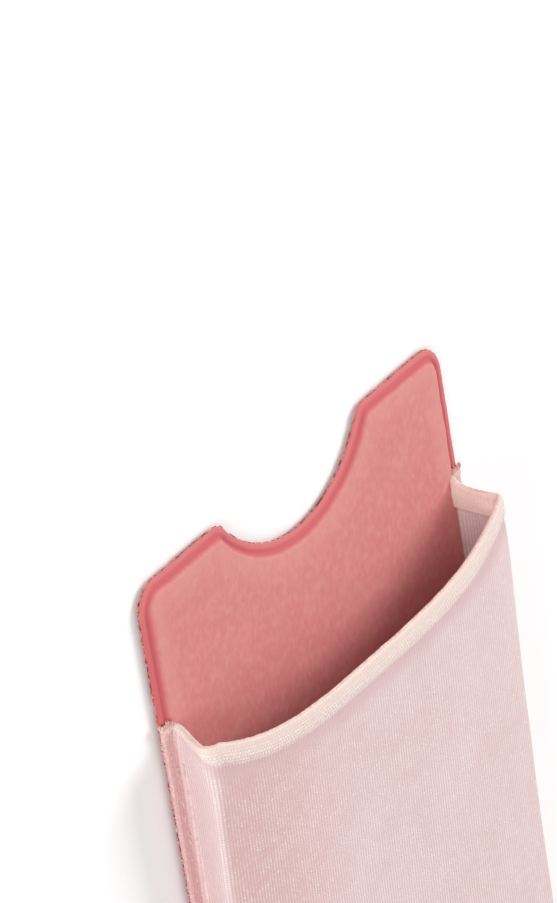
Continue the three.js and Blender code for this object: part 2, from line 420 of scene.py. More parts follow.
def pocket_stations():
    """Stations round the pocket's seam: down the left side, round the foot and up the right side.

    Each has its place on the panel's outline, its inward direction, and its drop below the mouth.
    The rows of one side are close together in the hem and even below it. Gives the stations, and
    the number of them on one side with its corner.
    """
    corner_x = PANEL_WIDTH / 2 - FOOT_CORNER
    corner_y = FOOT_EDGE + FOOT_CORNER
    length = MOUTH_ENDS - corner_y
    hem = np.linspace(FOLD_RADIUS, HEM_END + HEM_ROWS_PAST, HEM_ROWS)
    body = np.linspace(hem[-1], length, WALL_ROWS + 1)[1:]
    drop = np.concatenate([hem, body])
    turn = np.linspace(0, QUARTER_TURN, CORNER_STEPS + 1)[1:]
    fade = np.clip(1 - (drop - HEM_END) / (length - HEM_END), 0, 1)
    sides = []
    for sign in (-1, 1):
        tilt = sign * MOUTH_SLOPE * PANEL_WIDTH / 2
        straight = np.column_stack([
            np.full(len(drop), sign * PANEL_WIDTH / 2), MOUTH_ENDS - drop + tilt * fade,
            np.full(len(drop), -sign), np.zeros(len(drop)), drop,
        ])
        corner = np.column_stack([
            sign * (corner_x + FOOT_CORNER * np.cos(turn)), corner_y - FOOT_CORNER * np.sin(turn),
            -sign * np.cos(turn), np.sin(turn), length + FOOT_CORNER * turn,
        ])
        sides.append(np.concatenate([straight, corner]))
    x = np.linspace(-corner_x, corner_x, FOOT_STEPS + 2)[1:-1]
    foot = np.column_stack([
        x, np.full(len(x), FOOT_EDGE), np.zeros(len(x)), np.ones(len(x)),
        np.full(len(x), length + FOOT_CORNER * QUARTER_TURN),
    ])
    return np.concatenate([sides[0], foot, sides[1][::-1]]), len(sides[0])


def section_at(stations, half_width):
    """The cloth's outer face from the flange's edge up the wall and over the crease.

    Gives points of the shape (sections' steps, stations, 3): the flange's cut edge as a little more
    than a quarter circle over the panel's rim, a flat flange, a hollow fillet, a straight wall, and
    a round crease that ends at the front's slope. Near the mouth the flange and the wall's base
    reach further towards the panel's top.
    """
    x, y, nx, ny, drop = stations.T
    rounding = np.where(x < 0, MOUTH_ROUNDING_LEFT, MOUTH_ROUNDING_RIGHT)
    radius = CREASE_RADIUS + rounding * (1 - smooth(drop / MOUTH_ROUNDING_REACH))
    crease = crease_height(x, y + ny * CREASE_INSET)
    lean = np.arctan(FRONT_FULLNESS * front_swell(y) / half_width * np.abs(nx) + FOOT_LEAN * np.abs(ny))
    parts = []
    turn = np.linspace(-FLANGE_EDGE_CURL, QUARTER_TURN, FLANGE_EDGE_STEPS + 1)[:, None]
    inset = FLANGE_EDGE * (1 - np.cos(turn)) - FLANGE_OVERHANG
    parts.append((inset, FLANGE_TOP - FLANGE_EDGE * (1 - np.sin(turn)), 0 * turn))
    share = np.linspace(0, 1, FLANGE_STEPS + 1)[1:, None]
    inset = lerp(FLANGE_EDGE - FLANGE_OVERHANG, FLANGE_WIDTH - BASE_FILLET, share)
    parts.append((inset, FLANGE_TOP + 0 * share, 0 * share))
    turn = np.linspace(0, QUARTER_TURN, FILLET_STEPS + 1)[1:, None]
    inset = FLANGE_WIDTH - BASE_FILLET * (1 - np.sin(turn))
    parts.append((inset, FLANGE_TOP + BASE_FILLET * (1 - np.cos(turn)), 0 * turn))
    share = np.linspace(0, 1, WALL_STEPS + 1)[1:, None]
    low = FLANGE_TOP + BASE_FILLET
    height = lerp(low, (crease - radius)[None, :], share)
    inset = lerp(FLANGE_WIDTH, CREASE_INSET, share)
    parts.append((inset, height, share))
    turn = np.linspace(0, 1, CREASE_STEPS + 1)[1:, None] * (QUARTER_TURN - lean)[None, :]
    inset = CREASE_INSET + radius * (1 - np.cos(turn))
    height = crease - radius * (1 - np.sin(turn))
    parts.append((inset, height, 1 + 0 * turn))
    whole = [np.broadcast_arrays(*part, x[None, :])[:3] for part in parts]
    inset, height, share = (np.concatenate([part[i] for part in whole]) for i in range(3))
    across = x + nx * inset + FRONT_SWAY * smooth(share)
    low = np.exp(-np.maximum(height - FLANGE_TOP, 0) / MOUTH_RISE_FADE)
    reach = MOUTH_RISE * low * (1 - smooth(drop / MOUTH_RISE_REACH)) * np.abs(nx)
    return np.stack([across, y + ny * inset + reach, height], -1)


def pocket_surface():
    """The cloth's outer face as one sheet: the sections round the seam and the front between them.

    The front's rows join the crease's ends left and right. They sag at the mouth and swell above
    the crease by one less a power of the distance from the middle line, so most in the middle.
    Gives the points, the faces, the cloth's flat map, and each point's margins: its way below
    the mouth, its way in from the flange's cut edge and its way past the crease. Then come the
    vertex numbers of the mouth's edge, of the sections and of the front.
    """
    stations, rows = pocket_stations()
    sections = section_at(stations, PANEL_WIDTH / 2 - CREASE_INSET)
    steps, around = sections.shape[:2]
    ends = sections[-1]
    left = ends[:rows]
    right = ends[::-1][:rows]
    columns = around - 2 * rows + 2
    share = np.linspace(0, 1, columns)[1:-1]
    across = 2 * share - 1
    x = lerp(left[:-1, None, 0], right[:-1, None, 0], share)
    level = lerp(left[:-1, None, 1], right[:-1, None, 1], share)
    fade = np.clip((level - CREASE_FOOT) / (MOUTH_ENDS - HEM_END - CREASE_FOOT), 0, 1)
    y = level - MOUTH_DIP * (1 - np.abs(across) ** MOUTH_FULLNESS) * fade
    ends_height = lerp(left[:-1, None, 2], right[:-1, None, 2], share)
    crease_left = crease_height(left[:-1, None, 0], left[:-1, None, 1])
    crease_right = crease_height(right[:-1, None, 0], right[:-1, None, 1])
    bed = crease_height(x, y) - lerp(crease_left, crease_right, share)
    z = ends_height + bed + front_swell(y) * (1 - np.abs(across) ** FRONT_FULLNESS)
    front = np.stack([x, y, z], -1)
    points = np.concatenate([sections.reshape(-1, 3), front.reshape(-1, 3)])
    section_numbers = np.arange(steps * around).reshape(steps, around)
    front_numbers = steps * around + np.arange(front.shape[0] * front.shape[1]).reshape(front.shape[:2])
    last = section_numbers[-1]
    inner = np.column_stack([last[:rows - 1], front_numbers, last[::-1][:rows - 1]])
    bottom = last[rows - 1:around - rows + 1]
    front_grid = np.concatenate([inner, bottom[None, :]])
    quads = np.concatenate([grid_quads(section_numbers), grid_quads(front_grid)[:, ::-1]])

    lengths = np.linalg.norm(np.diff(sections, axis=0), axis=2)
    way_in = np.concatenate([np.zeros((1, around)), np.cumsum(lengths, 0)])
    to_crease = way_in[-1] - way_in
    outward = -stations[:, 2:4]
    flat = ends[None, :, :2] + outward[None] * to_crease[..., None]
    flat_map = np.concatenate([flat.reshape(-1, 2), front[..., :2].reshape(-1, 2)])
    below = np.broadcast_to(stations[:, 4], (steps, around))
    front_below = np.broadcast_to(stations[:rows - 1, 4][:, None], front.shape[:2])
    from_side = (1 - np.abs(across)) * PANEL_WIDTH / 2 + way_in[-1].max()
    front_in = np.broadcast_to(from_side, front.shape[:2])
    front_crease = np.broadcast_to((1 - np.abs(across)) * PANEL_WIDTH / 2, front.shape[:2])
    margins = np.column_stack([
        np.concatenate([below.ravel(), front_below.ravel()]),
        np.concatenate([way_in.ravel(), front_in.ravel()]),
        np.concatenate([-to_crease.ravel(), front_crease.ravel()]),
    ])
    mouth = np.concatenate([section_numbers[:, 0], front_numbers[0], section_numbers[::-1, -1]])
    return points, quads, flat_map, margins, mouth, section_numbers, front_grid


def finish_sides(points, normals, margins):
    """Lifts the hem's band, sinks the valley below it and gives the whole cloth a slight life.

    The band is half a sine wave that fades into the valley's bell curve. On the walls it is narrow.
    """
    below, way_in, _ = margins.T
    on_front = smooth((way_in - FRONT_START) / FRONT_BLEND)
    width = HEM_WIDTH * lerp(HEM_WALL_WIDTH, 1, on_front)
    band = np.sin(np.pi * np.clip(below / width, 0, 1))
    valley = np.exp(-((below - width - HEM_VALLEY_DROP) / HEM_VALLEY_WIDTH) ** 2)
    lift = HEM_PUFF * lerp(HEM_WALL_PUFF, 1, on_front) * band
    lift -= HEM_VALLEY * valley * lerp(HEM_WALL_VALLEY, 1, on_front)
    lift += CLOTH_WAVE * unevenness(points[:, 0], points[:, 1], CLOTH_WAVE_LENGTH, seed=21)
    lift += HEM_RIPPLE * band * unevenness(points[:, 0], points[:, 1], HEM_RIPPLE_LENGTH, seed=23)
    seam = np.exp(-np.maximum(way_in - FLANGE_WIDTH, 0) / SEAM_PUCKER_REACH) * smooth(way_in / FLANGE_WIDTH)
    lift += SEAM_PUCKER * seam * unevenness(0 * below, below, SEAM_PUCKER_LENGTH, seed=22)
    lift *= smooth(way_in / CUT_EDGE_FADE)
    return points + normals * lift[:, None]


def pocket():
    """The pocket: the outer sheet, the hem turned in at the mouth, and the cloth's thickness.

    The hem goes over a half circle at the mouth and down behind the front, at a depth of twice
    the fold's radius. On the flange, where it is pressed, that depth is less.
    Gives the piece, the finished points of its sections round the seam, and the hem's crest.
    """
    points, quads, flat_map, margins, mouth, sections, front_grid = pocket_surface()
    normals = vertex_normals(points, quads)
    points = finish_sides(points, normals, margins)
    normals = vertex_normals(points, quads)
    strip = hem_strip(sections, front_grid, HEM_TURNED_ROWS)
    way_in = margins[mouth, 1]
    press = lerp(FLANGE_PRESS, 1, smooth((way_in - PRESS_START) / PRESS_BLEND))
    turns = np.linspace(0, np.pi, FOLD_STEPS + 1)[1:]
    fold = []
    fold_below = []
    for turn in turns:
        depth = FOLD_RADIUS * (1 - np.cos(turn)) * press
        up = np.zeros((len(mouth), 3))
        up[:, 1] = FOLD_RADIUS * np.sin(turn)
        fold.append(points[mouth] - normals[mouth] * depth[:, None] + up)
        fold_below.append(np.full(len(mouth), FOLD_RADIUS * (1 - turn)))
    for row in strip[1:]:
        depth = 2 * FOLD_RADIUS * press
        fold.append(points[row] - normals[row] * depth[:, None])
        fold_below.append(-margins[row, 0] - FOLD_RADIUS)
    base = len(points)
    fold_points = np.concatenate(fold)
    numbers = base + np.arange(len(fold_points)).reshape(len(fold), -1)
    whole_strip = np.concatenate([mouth[None, :], numbers])
    points = np.concatenate([points, fold_points])
    quads = np.concatenate([quads, grid_quads(whole_strip)])
    flat_map = np.concatenate([flat_map, np.tile(flat_map[mouth], (len(fold), 1))])
    flat_map[base:, 1] += (FOLD_RADIUS - np.concatenate(fold_below))
    margins = np.concatenate([margins, np.column_stack([
        np.concatenate(fold_below), np.tile(way_in, len(fold)), np.tile(margins[mouth, 2], len(fold)),
    ])])
    maps = {
        "cloth_map": flat_map / MM, "margin_map": margins[:, :2] / MM,
        "crease_map": margins[:, [2, 0]] / MM,
    }
    crest = fold[len(turns) // 2 - 1]
    return thick_cloth("knit_pocket", points, quads, maps, CLOTH), points[sections], crest


def hem_strip(sections, front_grid, rows):
    """Vertex numbers of the first rows below the mouth, each from flange to flange."""
    left = sections[:, :rows].T
    right = sections[::-1, ::-1][:, :rows].T
    return np.concatenate([left, front_grid[:rows, 1:-1], right], 1)


def thick_cloth(name, points, quads, maps, thickness):
    """A closed sheet: the outer face, the inner face straight behind it, and a rim between them."""
    normals = vertex_normals(points, quads)
    count = len(points)
    inner = points - normals * thickness
    edges = np.concatenate([quads[:, [i, (i + 1) % 4]] for i in range(4)])
    keys = np.sort(edges, 1)
    _, first, uses = np.unique(keys, axis=0, return_index=True, return_counts=True)
    rim = edges[first[uses == 1]]
    rim_quads = np.column_stack([rim[:, 1], rim[:, 0], rim[:, 0] + count, rim[:, 1] + count])
    faces = np.concatenate([quads, quads[:, ::-1] + count, rim_quads])
    doubled = {key: np.concatenate([value, value]) for key, value in maps.items()}
    return new_piece(name, np.concatenate([points, inner]), faces.tolist(), doubled)


def along_line(line, places):
    """Points at the given distances along a line of points, any shape of distances."""
    step = np.linalg.norm(np.diff(line, axis=0), axis=1)
    way = np.concatenate([[0], np.cumsum(step)])
    return np.stack([np.interp(places, way, line[:, i]) for i in range(3)], -1)


def line_length(line):
    return np.linalg.norm(np.diff(line, axis=0), axis=1).sum()


def lying_threads(line, count, length, height, rng, steps=5):
    """Paths of short threads that lie along a line: each bows up by a sine wave and strays aside."""
    start = np.sort(rng.uniform(0, line_length(line) - length, count))
    share = np.linspace(0, 1, steps)
    reach = length * rng.uniform(0.6, 1.2, count)
    paths = along_line(line, start[:, None] + reach[:, None] * share)
    paths[..., 2] += height * np.sin(np.pi * share) * rng.uniform(0.6, 1.3, count)[:, None]
    stray = rng.normal(0, 1, (count, 2, 3)) * [0.06 * MM, 0, 0.04 * MM]
    return paths + lerp(stray[:, :1], stray[:, 1:], share[:, None])


def cut_ends(roots, heading, length, droop, rng, steps=5):
    """Paths of cut yarn ends: straight along the heading with a little scatter, bent down by a square."""
    count = len(roots)
    share = np.linspace(0, 1, steps)[None, :, None]
    way = heading + rng.normal(0, 0.32, (count, 3))
    way /= np.linalg.norm(way, axis=1, keepdims=True)
    reach = length * rng.uniform(0.4, 1.2, count)[:, None, None]
    bend = np.zeros((count, 1, 3))
    bend[:, 0, 2] = -droop * rng.uniform(0.3, 1.2, count)
    return roots[:, None] + way[:, None] * reach * share + bend * share ** 2


def thread_piece(name, paths, radius, finish):
    points, faces = yarns(paths, radius)
    piece = new_piece(name, points, faces)
    piece.data.materials.append(finish)
    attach(piece, "root")
    return piece


def pocket_threads(seam, crest):
    """Frayed ends round the flange, and short loops at the walls' base, on the flange and on the hem.

    seam holds the finished section points as (steps, stations, 3), the left mouth end first, and
    crest is the line along the top of the folded hem.
    """
    rng = np.random.default_rng(POCKET_THREAD_SEED)
    edge = seam[1]
    sides = np.where(edge[:, :1] < 0, [[-1.0, 0, -0.35]], [[1.0, 0, -0.35]])
    pick = rng.integers(0, len(edge), FRAYED_ENDS)
    blend = rng.uniform(0, 1, FRAYED_ENDS)[:, None]
    following = np.minimum(pick + 1, len(edge) - 1)
    roots = lerp(edge[pick], edge[following], blend)
    frays = [cut_ends(roots, sides[pick], length=0.3 * MM, droop=0.12 * MM, rng=rng)]
    for station, side in ((0, -1.0), (-1, 1.0)):
        mouth_end = seam[:SEAM_BASE + 3, station]
        places = rng.uniform(0, MOUTH_FRAY_REACH, MOUTH_FRAYED_ENDS)
        roots = along_line(mouth_end, places) + [0, 0.1 * MM, 0]
        heading = np.array([0.25 * side, 1.0, 0.15])
        frays.append(cut_ends(roots, heading, length=0.6 * MM, droop=0.1 * MM, rng=rng))
    loops = [
        lying_threads(seam[SEAM_BASE], BASE_LOOPS, length=0.55 * MM, height=0.1 * MM, rng=rng),
        lying_threads(seam[FLANGE_CREST], FLANGE_LOOPS, length=0.4 * MM, height=0.07 * MM, rng=rng),
    ]
    nubs = lying_threads(crest, HEM_LOOPS, length=0.4 * MM, height=0.02 * MM, rng=rng)
    pale = thread_finish("pale_yarn_ends", YARN_PALE, YARN_ROSE)
    cream = thread_finish("cream_edge_loops", EDGE_CREAM, EDGE_TAN)
    white = thread_finish("bright_seam_loops", SEAM_WHITE, SEAM_PINK)
    return [
        thread_piece("flange_frayed_yarn", np.concatenate(frays), FRAY_RADIUS, pale),
        thread_piece("seam_base_loops", np.concatenate(loops), SEAM_LOOP_RADIUS, white),
        thread_piece("hem_edge_loops", nubs, HEM_LOOP_RADIUS, cream),
    ]


def panel_threads():
    """Cut threads of the panel's edge, lying in the gap under its rim."""
    rng = np.random.default_rng(PANEL_THREAD_SEED)
    rim = panel_outline(-0.02 * MM)
    line = np.column_stack([rim, np.full(len(rim), BORDER_TOP - 2 * RIM_RADIUS)])
    paths = lying_threads(line, BACKING_THREADS, length=0.7 * MM, height=0.08 * MM, rng=rng)
    finish = thread_finish("cut_backing_threads", BACKING_TAN, BACKING_BROWN)
    return thread_piece("rim_cut_threads", paths, BACKING_RADIUS, finish)


def thread_finish(name, pale, deep):
    """Matt yarn whose colour wanders between two tones from thread to thread."""
    finish = Finish(name)
    place = finish.place()
    tone = finish.noise(place, 1700, 2)
    twist = finish.noise(place, 9000, 1)
    finish.set(Base_Color=finish.mix(finish.rise(tone, 0.4, 0.6), pale, deep), Roughness=0.75)
    finish.bump(twist, 0.00003, 0.5)
    return finish.material


class Finish:
    """One material: each method adds a shader node and gives back its output socket."""

    def __init__(self, name):
        self.material = bpy.data.materials.new(name)
        self.material.use_nodes = True
        self.tree = self.material.node_tree
        self.shader = self.tree.nodes["Principled BSDF"]

    def put(self, socket, value):
        if isinstance(value, bpy.types.NodeSocket):
            self.tree.links.new(value, socket)
        else:
            socket.default_value = value

    def set(self, **values):
        for name, value in values.items():
            self.put(self.shader.inputs[name.replace("_", " ")], value)

    def math(self, operation, *values):
        node = self.tree.nodes.new("ShaderNodeMath")
        node.operation = operation
        for socket, value in zip(node.inputs, values):
            self.put(socket, value)
        return node.outputs[0]

    def times(self, first, *others):
        """The product of all the values."""
        for value in others:
            first = self.math("MULTIPLY", first, value)
        return first

    def mix(self, share, first, second):
        node = self.tree.nodes.new("ShaderNodeMix")
        node.data_type = "RGBA"
        self.put(node.inputs["Factor"], share)
        self.put(node.inputs["A"], first)
        self.put(node.inputs["B"], second)
        return node.outputs["Result"]

    def rise(self, value, low, high, bottom=0.0, top=1.0):
        node = self.tree.nodes.new("ShaderNodeMapRange")
        node.interpolation_type = "SMOOTHSTEP"
        self.put(node.inputs["Value"], value)
        for key, number in (("From Min", low), ("From Max", high), ("To Min", bottom), ("To Max", top)):
            node.inputs[key].default_value = number
        return node.outputs["Result"]

    def band(self, value, rise_from, rise_to, fall_from, fall_to, bottom=0.0):
        """1 between two places, with an even rise before them and an even fall after them."""
        return self.times(
            self.rise(value, rise_from, rise_to, bottom, 1.0),
            self.rise(value, fall_from, fall_to, 1.0, 0.0))

    def map(self, name):
        node = self.tree.nodes.new("ShaderNodeUVMap")
        node.uv_map = name
        parts = self.tree.nodes.new("ShaderNodeSeparateXYZ")
        self.tree.links.new(node.outputs["UV"], parts.inputs[0])
        return parts.outputs["X"], parts.outputs["Y"]

    def place(self):
        return self.tree.nodes.new("ShaderNodeTexCoord").outputs["Object"]

    def join(self, x, y, z=0.0):
        node = self.tree.nodes.new("ShaderNodeCombineXYZ")
        for socket, value in zip(node.inputs, (x, y, z)):
            self.put(socket, value)
        return node.outputs[0]

    def noise(self, place, pace, detail=2.0, stretch=(1, 1, 1)):
        """Noise of about pace lumps a unit of place, from 0 to 1."""
        scaled = self.tree.nodes.new("ShaderNodeMapping")
        scaled.inputs["Scale"].default_value = stretch
        self.tree.links.new(place, scaled.inputs["Vector"])
        node = self.tree.nodes.new("ShaderNodeTexNoise")
        node.inputs["Scale"].default_value = pace
        node.inputs["Detail"].default_value = detail
        self.tree.links.new(scaled.outputs[0], node.inputs["Vector"])
        return node.outputs[0]

    def chance(self, place):
        """A random number from 0 to 1 for each place."""
        node = self.tree.nodes.new("ShaderNodeTexWhiteNoise")
        self.tree.links.new(place, node.inputs["Vector"])
        return node.outputs["Value"]

    def bump(self, height, depth, strength=1.0):
        node = self.tree.nodes.new("ShaderNodeBump")
        node.inputs["Strength"].default_value = strength
        node.inputs["Distance"].default_value = depth
        self.tree.links.new(height, node.inputs["Height"])
        self.tree.links.new(node.outputs[0], self.shader.inputs["Normal"])


def linear(red, green, blue):
    """A colour given in 0 to 255 as seen on a screen, as the shader's linear RGBA."""
    seen = np.array([red, green, blue]) / 255
    value = np.where(seen <= 0.04045, seen / 12.92, ((seen + 0.055) / 1.055) ** 2.4)
    return (*value.tolist(), 1.0)


# Colours as seen under even white light
CORAL = linear(214, 132, 128)
CORAL_PINK = linear(216, 126, 131)
CORAL_PALE = linear(228, 157, 149)
CORAL_RIM = linear(221, 118, 121)
# Deep coral for the painted shade of the border's valley and left side
CORAL_PAINTED_SHADE = linear(206, 94, 101)
KNIT_PINK = linear(230, 205, 205)
KNIT_PEACH = linear(217, 174, 171)
KNIT_LIGHT = linear(247, 232, 229)
KNIT_SHADE = linear(216, 181, 182)
KNIT_ROSE = linear(227, 173, 169)
# Cream of the hem, partly its own warmer tone and partly painted highlight
HEM_CREAM_HIGHLIGHT = linear(241, 217, 206)
# White of the loops, also used for painted glints
LOOP_GLINT_WHITE = linear(255, 243, 234)
YARN_PALE = linear(240, 208, 200)
YARN_ROSE = linear(224, 176, 172)
EDGE_CREAM = linear(246, 226, 214)
EDGE_TAN = linear(232, 196, 184)
SEAM_WHITE = linear(250, 232, 226)
SEAM_PINK = linear(236, 205, 202)
BACKING_TAN = linear(214, 158, 136)
BACKING_BROWN = linear(128, 62, 56)
ADHESIVE_GREY = linear(232, 226, 220)
ADHESIVE_WHITE = linear(240, 236, 231)
FLOOR_GREY = linear(247, 246, 246)
FLOOR_WHITE = linear(250, 249, 249)
CORAL_SHEEN = linear(255, 214, 206)
KNIT_SHEEN = linear(255, 236, 236)

# Where the panel's tones, its painted highlight and its painted shade rise and fall, in millimetres from
# its edge
SHOULDER_HIGHLIGHT_TONE = (1.25, 1.65, 1.9, 5.0)
VALLEY_SHADE_TONE = (0.3, 0.75, 1.1, 1.5)
RIM_TONE_END = (1.1, 1.45)
LEFT_BORDER_SHADE_END = (0.8, 1.4)

# Where the left side's painted shade rises, as shares of the way round the outline
LEFT_SIDE_SHADE_START = (0.7, 0.73)

# The knit's pitches and the places of its tones, painted shade and painted highlight, in millimetres as its
# flat maps are
WALE = 0.42
COURSE = 0.32
HEM_WALE = 0.4
HEM_ROW = 0.38
LEFT_FRONT_SHADE_END = (-26.0, -4.0)
WALL_END = (-1.0, 0.3)
CREASE_HIGHLIGHT_TONE = (-1.15, -0.75, -0.25, 0.0)
FLANGE_TONE_END = (1.5, 2.3)
FRONT_BEGIN = (FRONT_START / MM, (FRONT_START + FRONT_BLEND) / MM)
HEM_TONE_ON_WALL = 0.9
HEM_TONE_ON_FRONT = 2.5

# Where the hem's tones, painted highlight, glints and shade lie, as shares of its width
HEM_CREAM_HIGHLIGHT_END = (0.5, 1.25)
LOOP_ROWS_GLINT_TONE = (0.1, 0.6, 0.85, 1.15)
UNDER_HEM_SHADE_TONE = (0.95, 1.2, 1.3, 2.2)


def coral_fabric():
    """Matt coral microfibre: fine soft mottling, painted shade in the pressed valley and a painted
    highlight on the shoulder.

    The border has painted shade in deep coral on its left side.
    """
    finish = Finish("coral_microfibre")
    inset, around = finish.map("inset_map")
    place = finish.place()
    clouds = finish.noise(place, 230, 3)
    mottle = finish.noise(place, 900, 4)
    nap = finish.noise(place, 2200, 3, stretch=(1, 0.45, 1))
    fibres = finish.noise(place, 6500, 3)
    colour = finish.mix(finish.rise(clouds, 0.3, 0.7, 0, 0.75), CORAL, CORAL_PINK)
    colour = finish.mix(finish.rise(mottle, 0.4, 0.75, 0, 0.4), colour, CORAL_PALE)
    colour = finish.mix(finish.rise(nap, 0.42, 0.7, 0, 0.3), colour, CORAL_PALE)
    # Painted highlight: pale coral over the pad's shoulder
    shoulder = finish.band(inset, *SHOULDER_HIGHLIGHT_TONE)
    colour = finish.mix(finish.times(shoulder, 0.4), colour, CORAL_PALE)
    colour = finish.mix(finish.rise(inset, *RIM_TONE_END, 0.75, 0.0), colour, CORAL_RIM)
    # Painted shade: deep coral in the pressed valley
    valley = finish.band(inset, *VALLEY_SHADE_TONE)
    colour = finish.mix(finish.times(valley, 0.7), colour, CORAL_PAINTED_SHADE)
    # Painted shade: deep coral over the border on the left side
    left_side = finish.rise(around, *LEFT_SIDE_SHADE_START)
    left_border_painted_shade = finish.times(left_side, finish.rise(inset, *LEFT_BORDER_SHADE_END, 0.65, 0.0))
    colour = finish.mix(left_border_painted_shade, colour, CORAL_PAINTED_SHADE)
    height = finish.math("ADD", finish.times(nap, 0.6), finish.times(fibres, 0.4))
    finish.set(
        Base_Color=colour, Roughness=finish.rise(fibres, 0.3, 0.7, 0.78, 0.95),
        Sheen_Weight=0.3, Sheen_Roughness=0.45, Sheen_Tint=CORAL_SHEEN)
    finish.shader.inputs["Specular IOR Level"].default_value = 0.25
    finish.bump(height, 0.0001, 0.7)
    return finish.material


def ribs(finish, column):
    """A half sine wave across each column."""
    return finish.math("SINE", finish.times(finish.math("FRACT", column), np.pi))


def lattice(finish, u, v, wide, tall, offset=0.0):
    """Loops on a lattice: a soft bright dot in each cell, and the cell's own random number.

    A dot is the product of a half sine wave each way. Every second row is moved sideways by the
    offset, as a share of a cell.
    """
    row = finish.math("DIVIDE", v, tall)
    shift = finish.times(finish.math("MODULO", finish.math("FLOOR", row), 2.0), offset)
    column = finish.math("ADD", finish.math("DIVIDE", u, wide), shift)
    dot = finish.times(ribs(finish, column), ribs(finish, row))
    cell = finish.join(finish.math("FLOOR", column), finish.math("FLOOR", row))
    return dot, finish.chance(cell)


def front_colour(finish, u, v, past_crease, place):
    """The knit's ground with painted shade in peach towards the left, ribs of uneven loops with painted
    glints, and a painted highlight of dots along the crease.

    Gives the colour and the height of the knit's grain.
    """
    clouds = finish.noise(place, 110, 2)
    patches = finish.noise(place, 420, 3)
    wale = finish.math("DIVIDE", u, WALE)
    dot, chance = lattice(finish, u, v, WALE, COURSE)
    loops = finish.times(dot, finish.rise(chance, 0.0, 1.0, 0.4, 1.0))
    grain = finish.math("ADD", finish.times(ribs(finish, wale), 0.45), finish.times(loops, 0.55))
    grain = finish.times(grain, finish.rise(patches, 0.35, 0.65, 0.8, 1.1))

    colour = finish.mix(finish.rise(clouds, 0.35, 0.65, 0.0, 0.22), KNIT_PINK, KNIT_PEACH)
    # Painted shade: peach on the front towards the left crease
    left_front_painted_shade = finish.rise(u, *LEFT_FRONT_SHADE_END, 1.0, 0.0)
    colour = finish.mix(finish.times(left_front_painted_shade, 0.95), colour, KNIT_PEACH)
    on_wall = finish.rise(past_crease, *WALL_END, 1.0, 0.0)
    colour = finish.mix(on_wall, colour, KNIT_PINK)
    colour = finish.mix(finish.rise(grain, 0.0, 0.45, 0.6, 0.0), colour, KNIT_SHADE)
    colour = finish.mix(finish.rise(grain, 0.3, 0.95, 0.0, 0.6), colour, KNIT_LIGHT)
    one_wale = finish.join(finish.times(finish.math("FLOOR", wale), 3.7), finish.times(v, 1.6))
    streaks = finish.noise(one_wale, 1.0, 1)
    colour = finish.mix(finish.rise(streaks, 0.55, 0.8, 0.0, 0.16), colour, KNIT_LIGHT)
    # Painted glints: white on a few random loops
    painted_glint = finish.times(finish.rise(chance, 0.96, 0.975), finish.rise(dot, 0.2, 0.7))
    colour = finish.mix(finish.times(painted_glint, 0.35), colour, LOOP_GLINT_WHITE)
    # Painted highlight: bright loop dots along the crease
    crease_painted_highlight = finish.band(past_crease, *CREASE_HIGHLIGHT_TONE)
    crease_painted_glints = finish.times(crease_painted_highlight, finish.rise(dot, 0.25, 0.8, 0.05, 0.45))
    return finish.mix(crease_painted_glints, colour, KNIT_LIGHT), grain


def hem_colour(finish, colour, u, below, way_in):
    """A cream hem, partly painted highlight, with rows of bright loops and painted glints, and painted
    shade in the valley below it. The hem is narrow on walls.

    Gives the colour and the height of the rows.
    """
    on_front = finish.rise(way_in, *FRONT_BEGIN)
    widening = finish.times(on_front, HEM_TONE_ON_FRONT - HEM_TONE_ON_WALL)
    hem_width = finish.math("ADD", widening, HEM_TONE_ON_WALL)
    in_hem = finish.math("DIVIDE", below, hem_width)
    # The hem's cream band: partly its own warmer tone, partly painted highlight on the fold
    cream = finish.rise(in_hem, *HEM_CREAM_HIGHLIGHT_END, 1.0, 0.0)
    colour = finish.mix(finish.times(cream, 0.8), colour, HEM_CREAM_HIGHLIGHT)
    dot, chance = lattice(finish, u, below, HEM_WALE, HEM_ROW, offset=0.5)
    dot = finish.times(dot, finish.rise(chance, 0.0, 1.0, 0.6, 1.1))
    # Rows of real loops along the hem, whitened in part by painted glints
    rows = finish.band(in_hem, *LOOP_ROWS_GLINT_TONE, bottom=0.2)
    rows = finish.times(rows, finish.rise(dot, 0.25, 0.8))
    colour = finish.mix(rows, colour, LOOP_GLINT_WHITE)
    # Painted shade: the valley below the hem on the front
    under_hem_painted_shade = finish.times(finish.band(in_hem, *UNDER_HEM_SHADE_TONE), on_front, 0.7)
    return finish.mix(under_hem_painted_shade, colour, KNIT_SHADE), rows


def knit_fabric():
    """Satin stretch knit: fine ribs of uneven loops, painted shade, highlight and glints, a dotted cream
    hem and a rosy cut flange.
    """
    finish = Finish("satin_stretch_knit")
    u, v = finish.map("cloth_map")
    below, way_in = finish.map("margin_map")
    past_crease, _ = finish.map("crease_map")
    place = finish.place()
    colour, grain = front_colour(finish, u, v, past_crease, place)
    colour, rows = hem_colour(finish, colour, u, below, way_in)
    flange = finish.rise(way_in, *FLANGE_TONE_END, 1.0, 0.0)
    tangle = finish.rise(finish.noise(place, 3400, 2), 0.36, 0.66, 0.95, 0.35)
    colour = finish.mix(finish.times(flange, tangle), colour, KNIT_ROSE)
    finish.set(
        Base_Color=colour, Roughness=finish.rise(grain, 0.0, 1.0, 0.62, 0.45),
        Sheen_Weight=0.3, Sheen_Roughness=0.35, Sheen_Tint=KNIT_SHEEN)
    finish.shader.inputs["Specular IOR Level"].default_value = 0.4
    finish.bump(finish.math("ADD", grain, finish.times(rows, 0.8)), 0.00007, 0.6)
    return finish.material


